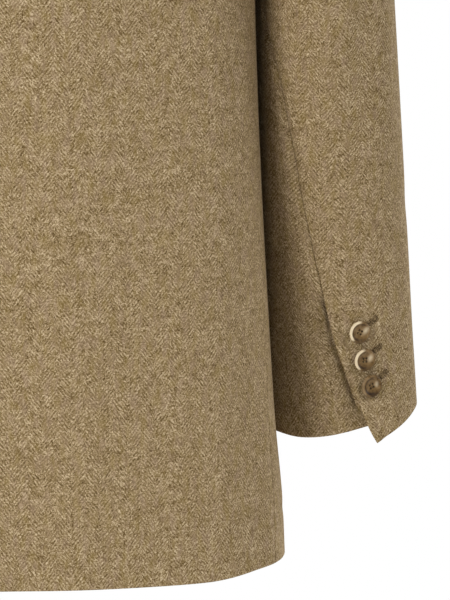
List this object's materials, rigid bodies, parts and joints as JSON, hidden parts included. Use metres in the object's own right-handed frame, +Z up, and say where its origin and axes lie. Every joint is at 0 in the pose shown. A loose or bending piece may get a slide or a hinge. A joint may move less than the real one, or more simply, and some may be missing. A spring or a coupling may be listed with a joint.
{
  "type": "overcoat",
  "caption": "Short single-breasted overcoat in herringbone wool, hollow as worn, with notched lapels, a turned-down collar and vented cuffs with buttons.",
  "frame": {"origin": "on the coat's middle line at the height of the back neck seam, where the shoulders carry it", "axes": "+Z up, -Y the way the wearer faces, +X to the wearer's left"},
  "size_m": [0.7156, 0.295, 0.8721],
  "materials": {
    "wool": "matte tan and brown herringbone wool with flecks",
    "horn": "brown horn, soft polish"
  },
  "bodies": {
    "root": {"back": "wool", "front_left": "wool", "front_right": "wool", "lapel_left": "wool", "lapel_right": "wool", "collar": "wool", "top_sleeve_left": "wool", "top_sleeve_right": "wool", "under_sleeve_left": "wool", "under_sleeve_right": "wool", "cuff_button_left_1": "horn", "cuff_button_left_2": "horn", "cuff_button_left_3": "horn", "cuff_button_right_1": "horn", "cuff_button_right_2": "horn", "cuff_button_right_3": "horn", "front_button_1": "horn", "front_button_2": "horn", "front_button_3": "horn"}
  },
  "joints": []
}
